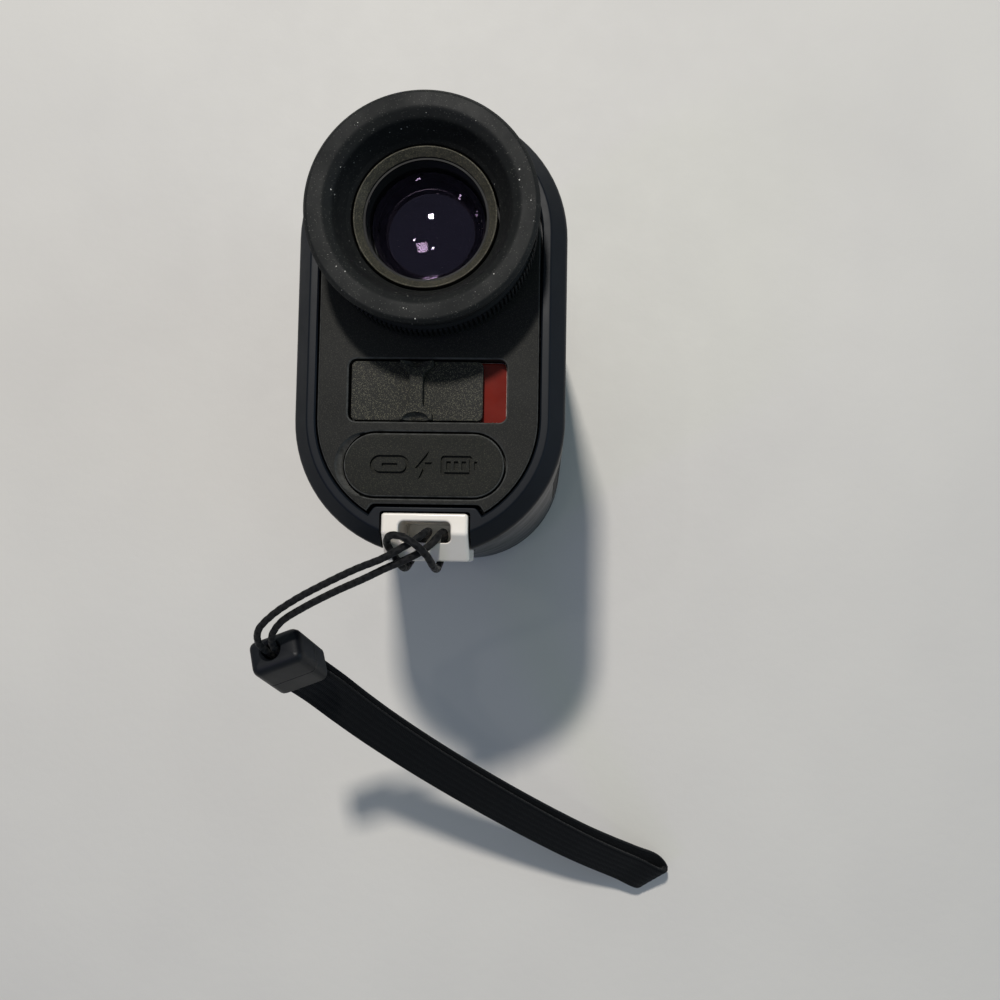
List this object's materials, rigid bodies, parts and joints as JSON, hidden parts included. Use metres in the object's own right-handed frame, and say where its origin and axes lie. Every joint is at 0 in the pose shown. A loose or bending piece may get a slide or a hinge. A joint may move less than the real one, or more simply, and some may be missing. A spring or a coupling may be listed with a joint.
{
  "type": "laser rangefinder",
  "caption": "Pocket laser rangefinder with eyecup, dioptre ring, sliding slope switch, rubber port cover, buttons and a wrist strap on a lanyard lug.",
  "frame": {"origin": "middle of the footprint on the surface that the front bezel stands on", "axes": "+Z out of the eyepiece, +Y towards the buttons, X across the width"},
  "size_m": [0.0781, 0.1462, 0.1025],
  "materials": {
    "shell": "satin",
    "panel": "fine sparkle grain",
    "grip_rubber": "moulded texture",
    "seal": "matt",
    "lug_plastic": "gloss",
    "steel": "plain",
    "circuit": "solder mask",
    "inner_plastic": "matt",
    "red_plastic": "gloss",
    "lens_glass": "coated",
    "prism_glass": "polished",
    "chassis_metal": "die cast",
    "battery_wrap": "film",
    "cord": "braid",
    "webbing": "ribbed weave",
    "crimp_plastic": "satin",
    "button_rubber": "matt",
    "ring_rubber": "ribbed",
    "eyecup_rubber": "matt",
    "ring_metal": "bead blasted",
    "slider_plastic": "coarse sparkle grain",
    "cover_rubber": "matt"
  },
  "bodies": {
    "body": {"main_housing": "shell", "rear_panel": "panel", "front_bezel": "shell", "left_grip": "grip_rubber", "right_grip": "grip_rubber", "rear_gasket": "seal", "front_seal": "seal", "lanyard_lug": "lug_plastic", "power_switch": "steel", "mode_switch": "steel", "button_board": "circuit", "slider_track": "inner_plastic", "red_indicator": "red_plastic", "slide_switch": "steel", "usb_receptacle": "steel", "usb_board": "circuit", "eyepiece_tube": "inner_plastic", "eyepiece_seal": "seal", "objective_cell": "inner_plastic", "objective_lens": "lens_glass", "objective_retainer": "inner_plastic", "optical_barrel": "inner_plastic", "emitter_barrel": "inner_plastic", "emitter_lens": "lens_glass", "laser_diode": "steel", "prism_holder": "inner_plastic", "roof_prism": "prism_glass", "display_frame": "inner_plastic", "reticle_display": "prism_glass", "laser_board": "circuit", "photodiode": "steel", "chassis": "chassis_metal", "main_board": "circuit", "battery_cell": "battery_wrap", "board_screw_1": "steel", "board_screw_2": "steel", "board_screw_3": "steel", "board_screw_4": "steel", "strap_cord": "cord", "strap_webbing": "webbing", "strap_crimp": "crimp_plastic"},
    "power_key": {"power_button": "button_rubber"},
    "mode_key": {"mode_button": "button_rubber"},
    "dioptre": {"dioptre_ring": "ring_rubber", "eyecup": "eyecup_rubber"},
    "ocular": {"ocular_cell": "inner_plastic", "ocular_ring": "ring_metal", "eye_lens": "lens_glass", "field_lens": "lens_glass"},
    "slope_switch": {"slope_slider": "slider_plastic", "switch_knob": "inner_plastic"},
    "cover": {"port_cover": "cover_rubber"}
  },
  "joints": [
    {"name": "power_button_press", "type": "slide", "parent": "body", "child": "power_key", "axis": [0, -1, 0], "range_m": [0, 0.0008], "stiffness_N_per_m": 800, "springref_m": -0.0008},
    {"name": "mode_button_press", "type": "slide", "parent": "body", "child": "mode_key", "axis": [0, -1, 0], "range_m": [0, 0.0008], "stiffness_N_per_m": 800, "springref_m": -0.0008},
    {"name": "dioptre_turn", "type": "hinge", "parent": "body", "child": "dioptre", "pos_m": [0, 0.01425, 0.093], "axis": [0, 0, 1], "range_deg": [-120, 120]},
    {"name": "ocular_focus", "type": "slide", "parent": "body", "child": "ocular", "axis": [0, 0, 1], "range_m": [-0.001, 0.001]},
    {"name": "slope_slide", "type": "slide", "parent": "body", "child": "slope_switch", "axis": [1, 0, 0], "range_m": [0, 0.0034]},
    {"name": "port_cover_open", "type": "hinge", "parent": "body", "child": "cover", "pos_m": [0.0119, -0.0215, 0.0899], "axis": [0, 1, 0], "range_deg": [0, 110]}
  ],
  "couplings": [
    {"joint": "ocular_focus", "follows": "dioptre_turn", "m_per_rad": 0.000477}
  ]
}
